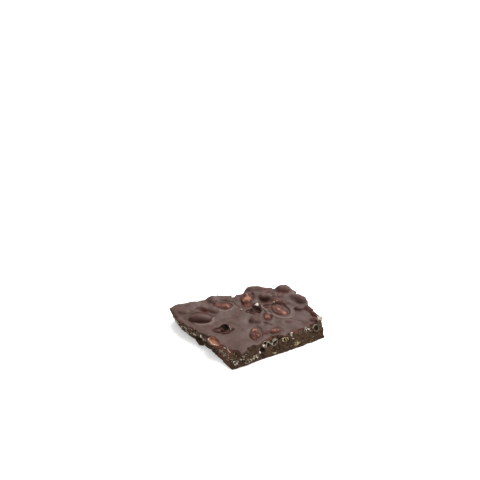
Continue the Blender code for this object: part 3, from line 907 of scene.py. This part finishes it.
def chocolate(link):
    """The poured top, the thin coats, the pits and the breaks, blended by the masks.
    Steep slopes and the pits take painted shade, and the ridges a painted highlight.
    """
    names = ("broken", "thin", "pitted", "raised", "edge", "steep", "pale")
    broken, thin, pitted, raised, edge, steep, pale = (link.measure(name) for name in names)
    mottle = link.speckle(0.30, 4, 0.6)
    patch = link.speckle(1.3, 3)
    streaks = link.speckle(2.6, 2)
    clouding = link.speckle(0.45, 4, 0.6) * 0.65 + patch * 0.35
    cloud = clouding.ramp(0.38, 0.62).blend(POURED_DARK, POURED)
    poured = (mottle * 2.2 + raised * 0.5 + patch * 0.9).ramp(1.3, 2.2).blend(cloud, REDDISH)
    # Painted shade: the steeper the slope, the darker its colour
    slope_shaded = steep.ramp(0.15, 0.9).blend(poured, STEEP_SLOPE_SHADE)
    # Painted highlight: a pale line along the ridges, laid over the painted slope shade
    highlighted = (pale * (patch + 0.4)).ramp(0.15, 0.8).blend(slope_shaded, RIDGE_HIGHLIGHT)
    grit = link.speckle(2.4, 5, 0.75)
    clots = link.speckle(0.7, 3, 0.6)
    crumbly = (grit * 0.75 + clots * 0.45 + thin * 0.3).ramp(0.44, 0.76).blend(BROKEN_DARK, BROKEN)
    torn = (edge * (clots * 0.9 + grit * 0.7) + thin * (clots * 1.8 + 0.4)).ramp(0.45, 0.85)
    sheared = torn.blend(crumbly, GLOWING)
    ruddy = (thin * (patch * 1.9 + 0.05)).ramp(0.08, 0.34).blend(highlighted, RUDDY)
    glow = (thin * (patch * 0.9 + streaks * 0.7)).ramp(0.35, 0.75).blend(ruddy, GLOWING)
    skin_colour = (thin * (streaks * 0.8 + patch * 1.1)).ramp(0.85, 1.35).blend(glow, TOASTED)
    dusty = (thin * 2.2 + steep * 0.8 + pitted).ramp(0.1, 1.0)
    # Painted shade: the pits' walls are coloured dark, except where a thin coat shows
    pit_shade_colour = pitted.blend(skin_colour, thin.ramp(0.2, 1.0).blend(PIT_SHADE, GLOWING))
    fine = link.speckle(6.0, 3)
    break_relief = broken * (grit * 1.2 + fine * 0.4)
    top_relief = (1 - broken) * (fine * 0.03 + patch * 0.14 + thin * patch * 1.1)
    bumps = {"Height": break_relief + top_relief, "Distance": BUMP_HEIGHT * MM}
    bump = link.node("ShaderNodeBump", {}, bumps)
    return {
        "Base Color": broken.blend(pit_shade_colour, sheared),
        "Roughness": broken * 0.30 + (patch * 0.22 + 0.32) + dusty * 0.34,
        "Normal": bump,
        "IOR": 1.46,
        "Specular IOR Level": 0.21,
    }


finish(chocolate_bark, "dark_chocolate", chocolate)
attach(chocolate_bark, "root")
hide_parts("chocolate_bark")

# The cut puffed rice
# The open grains of the breaks, joined into one piece: thin crisp walls, cream to
# golden, painted darker and browner down in their cells, partly as shade and partly as
# chocolate that seeped in.

WHITE = (0.82, 0.76, 0.66, 1)
CREAM = (0.42, 0.36, 0.29, 1)
GOLDEN = (0.50, 0.38, 0.17, 1)
# Painted shade down in the cut grains' cells, partly chocolate that seeped in; on the flakes the
# same brown is their dull tone
SHADE_AND_DULL_BROWN = (0.060, 0.033, 0.020, 1)
SMEARED = (0.12, 0.078, 0.046, 1)
RICE_BUMP_HEIGHT = 0.1


def piled(name, pile):
    """One object from all the rice in a pile."""
    return meshed(name, **{key: np.concatenate(rows) for key, rows in pile.items()})


def rice(link):
    """Crisp rice from white to golden, smeared with chocolate, and painted brown in its cells,
    partly as shade and partly as chocolate seeped in; flakes are dulled with the same brown.
    """
    yellow, deep = link.measure("yellow"), link.measure("deep")
    patch = link.speckle(0.9, 2)
    smear = link.speckle(1.1, 3).ramp(0.44, 0.62)
    tone = yellow + (patch - 0.5) * 0.5
    wall = tone.ramp(0.1, 0.9).blend(tone.ramp(-0.7, 0.1).blend(WHITE, CREAM), GOLDEN)
    # Painted shade: the deeper into a cut grain, the browner, partly as chocolate seeped in
    brown = (deep + (patch - 0.5) * 0.8).ramp(0.10, 0.65)
    bumps = {"Height": link.speckle(5, 2), "Distance": RICE_BUMP_HEIGHT * MM}
    bump = link.node("ShaderNodeBump", {}, bumps)
    colour = brown.blend((smear * 0.85).blend(wall, SMEARED), SHADE_AND_DULL_BROWN)
    return {"Base Color": colour, "Roughness": 0.6, "Normal": bump}


puffed_rice = piled("cut_puffed_rice", cut_rice)
finish(puffed_rice, "puffed_rice", rice)
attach(puffed_rice, "root")

# The rice flakes
# Scraps of torn grain stick out all along the breaks, and a few lie on the top: thin bent
# plates with ragged edges, from white to tan.

FLAKE_POINTS = 9
FLAKE_COUNT = 260
FLAKE_THICKNESS = 0.16
FLAKE_EDGE = 0.4
FLAKE_RAGGEDNESS = 0.4
FLAKE_INNER_RING = 0.55
FLAKE_BEND = 0.5
FLAKE_ROUGHNESS = 0.05
HOLD = 0.05

# Flakes that stand out: x, y, height, length, width, turns about Z, Y and X, and how
# yellow
BRIGHT_FLAKES = (
    (8.3, 6.0, 6.4, 2.1, 1.6, -10, 25, 50, -0.8),
    # The next flake, small and cream, is a painted highlight: it stands in for a soft highlight on
    # the grain there
    (5.8, -15.1, 7.1, 0.9, 0.6, 0, 30, 40, 0.3),
    (-24.9, 19.0, 5.6, 1.8, 0.4, -85, 0, 60, 0.0),
    (-25.1, 15.6, 5.4, 1.6, 0.4, -92, 5, 70, 0.1),
    (-25.1, 12.6, 5.2, 1.5, 0.4, -95, 0, 60, 0.0),
    (-17.0, -19.6, 2.6, 1.2, 0.8, 0, 30, 80, -0.8),
    (-18.7, -19.4, 2.4, 1.0, 0.7, -50, 30, 70, -0.9),
    (-9.7, -3.4, 6.4, 1.6, 0.5, 40, 20, 60, 0.1),
    (-9.9, -2.0, 6.5, 1.2, 0.5, 70, 10, 60, 0.3),
    (1.2, 6.5, 6.35, 0.7, 0.5, 0, 20, 0, -1.0),
    (-19.9, -12.8, 4.6, 2.4, 0.35, -85, -10, 60, 0.0),
    (-19.8, -15.4, 4.0, 2.2, 0.35, -80, 0, 60, 0.1),
    (-17.9, -15.1, 5.6, 2.0, 0.4, 30, 0, 40, -0.6),
    (-18.9, -17.4, 3.2, 1.8, 1.0, 40, 0, 70, -0.6),
    (-17.6, -20.8, 2.0, 1.6, 1.3, 0, 20, 80, -0.9),
    (-19.2, -18.8, 1.5, 1.0, 0.8, 0, 20, 70, -1.0),
    (24.2, -16.6, 7.5, 2.8, 1.7, 20, 10, 50, 0.0),
    (25.0, -16.9, 6.8, 2.2, 1.4, 0, -20, 60, 0.2),
    (23.1, -17.3, 7.1, 2.0, 1.3, 60, 20, 60, 0.3),
    (24.8, -15.6, 7.5, 1.9, 1.3, 80, 20, 50, 0.2),
    (25.7, -16.0, 6.8, 1.8, 1.2, 40, -20, 60, -0.2),
    (24.0, -17.2, 6.5, 1.6, 1.0, 10, 0, 70, -0.3),
    (-18.0, -14.6, 6.2, 2.0, 0.35, -100, 10, 40, -0.2),
    (-18.3, -16.8, 5.9, 2.2, 0.35, -80, 10, 50, -0.1),
    (-19.4, -11.2, 5.7, 1.6, 0.35, -70, 10, 50, 0.0),
    (-6.2, -20.6, 3.4, 1.6, 0.6, 0, 70, 80, -0.9),
    (-3.6, -19.2, 5.3, 1.6, 1.0, 0, 30, 70, -0.9),
    (9.4, -19.2, 5.6, 1.6, 0.7, 0, 60, 75, -1.0),
    (16.6, -19.0, 5.2, 1.7, 0.7, 0, -50, 75, -1.0),
    (18.0, -19.0, 5.2, 1.5, 0.6, 0, 50, 75, -0.7),
    (0.6, -21.0, 0.9, 1.6, 0.8, 0, 10, 80, 1.0),
    (-22.7, -0.4, 4.6, 1.7, 0.6, -85, 60, 60, -0.9),
    (-21.7, -4.4, 4.2, 1.0, 0.7, -85, 0, 60, -0.9),
    (15.2, 3.4, 7.1, 0.8, 0.6, 10, 20, 10, 0.4),
    (-10.3, -4.6, 6.7, 1.3, 0.5, 50, 30, 60, -0.3),
)


def flake(rng, length, width):
    """A ragged bent plate round the origin: its points, and its faces as rows of three."""
    angles = np.linspace(0, 2 * math.pi, FLAKE_POINTS, endpoint=False)
    reach = 1 + FLAKE_RAGGEDNESS * rng.uniform(-1, 1, FLAKE_POINTS)
    ring = np.stack((np.cos(angles), np.sin(angles)), axis=1) * reach[:, None]
    plan = np.concatenate(([(0, 0)], FLAKE_INNER_RING * ring, ring)) * (length / 2, width / 2)
    bend = rng.uniform(-FLAKE_BEND, FLAKE_BEND) * plan[:, 0] ** 2 / length
    rough = rng.uniform(-FLAKE_ROUGHNESS, FLAKE_ROUGHNESS, len(plan))
    faces = []
    points = []
    for half in (0.5, -0.5):
        rise = np.full(len(plan), half * FLAKE_THICKNESS)
        rise[-FLAKE_POINTS:] *= FLAKE_EDGE
        points.append(np.column_stack((plan, bend + rough + rise)))
    under = len(plan)
    for i in range(FLAKE_POINTS):
        j = (i + 1) % FLAKE_POINTS
        inner, outer = (1 + i, 1 + j), (1 + FLAKE_POINTS + i, 1 + FLAKE_POINTS + j)
        top = [(0, *inner), (inner[0], outer[0], outer[1]), (inner[0], outer[1], inner[1])]
        faces += top + [tuple(under + v for v in face[::-1]) for face in top]
        faces.append((outer[0], under + outer[0], under + outer[1]))
        faces.append((outer[0], under + outer[1], outer[1]))
    return np.concatenate(points), np.array(faces)


def settled(points):
    """A flake's points, moved bodily on to the chocolate if they hang free of it."""
    for _ in range(3):
        gap = at_grid(bark, points)
        nearest = points[gap.argmin()]
        steps = np.eye(3) * STEP
        slope = [at_grid(bark, nearest + step) - at_grid(bark, nearest - step) for step in steps]
        points = points - slope / np.linalg.norm(slope) * max(gap.min() + HOLD, 0)
    return points


flakes = {"points": [], "faces": [], "yellow": [], "deep": []}
rng = np.random.default_rng(11)


def lay_flake(spot, turn, length, width, yellow, dulled=0.0):
    """Adds one flake, turned and placed, to the flakes made so far."""
    points, faces = flake(rng, length, width)
    add_rice(flakes, settled(points @ turn.T + spot), faces, yellow, dulled)


for x, y, height, length, width, about_z, about_y, about_x, yellow in BRIGHT_FLAKES:
    turn = spun(about_z) @ spun(about_y, "Y") @ spun(about_x, "X")
    lay_flake(np.array((x, y, height)), turn, length, width, yellow)

# Fine crumbs on the left break: how many, and between which two places along it
LEFT_BREAK_X = -21.0
CRUMB_BANDS = ((60, -3.0, 18.0), (45, -20.5, -10.5))
CRUMB_HEIGHTS = (2.6, 5.8)
CRUMB_LENGTHS = (0.3, 1.0)
CRUMB_WIDTHS = (0.2, 0.4)
CRUMB_YELLOWS = (-0.6, 0.2)
CRUMB_DULLNESS = (0, 0.4)
for number, low, high in CRUMB_BANDS:
    for _ in range(number):
        spot, axes = on_break(LEFT_BREAK_X, rng.uniform(low, high), rng.uniform(*CRUMB_HEIGHTS))
        turn = axes @ spun(rng.uniform(40, 90), "X") @ spun(rng.uniform(-40, 40))
        length, width = rng.uniform(*CRUMB_LENGTHS), rng.uniform(*CRUMB_WIDTHS)
        yellow, dulled = rng.uniform(*CRUMB_YELLOWS), rng.uniform(*CRUMB_DULLNESS)
        lay_flake(spot, turn, length, width, yellow, dulled)

# Flakes all round, each on a stretch of the rim chosen by its length
FLAKE_HEIGHTS = (0.4, 5.4)
SHORTEST_FLAKE = 0.35
LONGER_FLAKES_BY = 1.6
FLAKE_WIDTH_SHARES = (0.25, 0.6)
FLAKE_YELLOWS = (0, 0.8)
FLAKE_DULLNESS = (0.2, 0.75)
outline = CORNERS[:, :2]
reaches = np.linalg.norm(np.roll(outline, -1, axis=0) - outline, axis=1)
for _ in range(FLAKE_COUNT):
    edge = rng.choice(len(outline), p=reaches / reaches.sum())
    share = rng.uniform()
    x, y = outline[edge] * (1 - share) + outline[(edge + 1) % len(outline)] * share
    spot, axes = on_break(x, y, rng.uniform(*FLAKE_HEIGHTS))
    tumbled = Vector(rng.normal(size=3)).to_track_quat("Z", "Y").to_matrix()
    turn = np.array(Matrix(axes.tolist()) @ tumbled)
    length = SHORTEST_FLAKE + LONGER_FLAKES_BY * rng.uniform() ** 3
    yellow, dulled = rng.uniform(*FLAKE_YELLOWS), rng.uniform(*FLAKE_DULLNESS)
    lay_flake(spot, turn, length, length * rng.uniform(*FLAKE_WIDTH_SHARES), yellow, dulled)

rice_flakes = piled("rice_flakes", flakes)
finish(rice_flakes, "torn_rice", rice)
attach(rice_flakes, "root")

# The floor
# A plain white sweep of matt card, wide enough to fill the view, for the piece to stand
# on. It is not part of the piece.

FLOOR_SIDE = 6.0
FLOOR_DROP = 0.02 * MM
FLOOR_GLOW = 0.42
floor_mesh = bpy.data.meshes.new("floor")
half = FLOOR_SIDE / 2
plan = ((-half, -half), (half, -half), (half, half), (-half, half))
corners = [(x, y, -FLOOR_DROP) for x, y in plan]
floor_mesh.from_pydata(corners, [], [(0, 1, 2, 3)])
floor = bpy.data.objects.new("floor", floor_mesh)
bpy.context.scene.collection.objects.link(floor)


def white_sweep(link):
    """Matt white card, lit a little from within as a bright studio lights it."""
    tone = link.speckle(0.002).blend((0.88, 0.88, 0.88, 1), (0.90, 0.90, 0.90, 1))
    return {
        "Base Color": tone,
        "Roughness": 0.8,
        "Emission Color": tone,
        "Emission Strength": FLOOR_GLOW,
    }


finish(floor, "white_sweep", white_sweep)

# The light
# A white room, bright behind the piece and dimmer by the camera, with one broad panel
# high to the right that leaves a faint shadow at the left.

world = bpy.data.worlds.new("studio")
bpy.context.scene.world = world
world.use_nodes = True
room = Link(world.node_tree)
BRIGHT_WAY = (0.75, 0.45, 0.48)
DIM_SIDE = 0.16
BRIGHT_SIDE = 1.10
DIM_UP_TO = -0.7
BRIGHT_FROM = 0.8
direction = room.node("ShaderNodeTexCoord", {}, {}, "Generated")
ways = {0: direction, 1: BRIGHT_WAY}
facing = room.node("ShaderNodeVectorMath", {"operation": "DOT_PRODUCT"}, ways, "Value")
brightness = facing.ramp(DIM_UP_TO, BRIGHT_FROM) * (BRIGHT_SIDE - DIM_SIDE) + DIM_SIDE
seen = room.node("ShaderNodeLightPath", {}, {}, "Is Camera Ray")
backdrop = world.node_tree.nodes["Background"]
backdrop.inputs["Color"].default_value = (1, 1, 1, 1)
world.node_tree.links.new((brightness + seen).socket, backdrop.inputs["Strength"])

# The panel's place and side are in metres, and its power in watts
PANEL_PLACE = (1.05, 0.35, 1.35)
PANEL_SIDE = 2.0
PANEL_POWER = 54
panel = bpy.data.objects.new("right_panel", bpy.data.lights.new("right_panel", "AREA"))
panel.data.size = PANEL_SIDE
panel.data.energy = PANEL_POWER
panel.location = PANEL_PLACE
panel.rotation_euler = Vector(PANEL_PLACE).to_track_quat("Z", "Y").to_euler()
bpy.context.scene.collection.objects.link(panel)

scene = bpy.context.scene
scene.view_settings.view_transform = "Standard"

# The camera
# It looks down at 30 degrees from the front left, from half a metre off, through a
# long lens, as the photograph does.

EYE = (-213.12, -353.32, 281.35)
AZIMUTH = math.radians(-30.69)
ELEVATION = math.radians(30)
LENS = 90
NEAREST_SEEN = 0.01
back = Vector((
    math.sin(AZIMUTH) * math.cos(ELEVATION),
    -math.cos(AZIMUTH) * math.cos(ELEVATION),
    math.sin(ELEVATION),
))
camera = bpy.data.objects.new("camera", bpy.data.cameras.new("camera"))
camera.data.lens = LENS
camera.data.clip_start = NEAREST_SEEN
camera.location = (Vector(EYE) - Vector((*DRAWING_MIDDLE, 0))) * MM
camera.rotation_euler = back.to_track_quat("Z", "Y").to_euler()
scene.collection.objects.link(camera)
scene.camera = camera
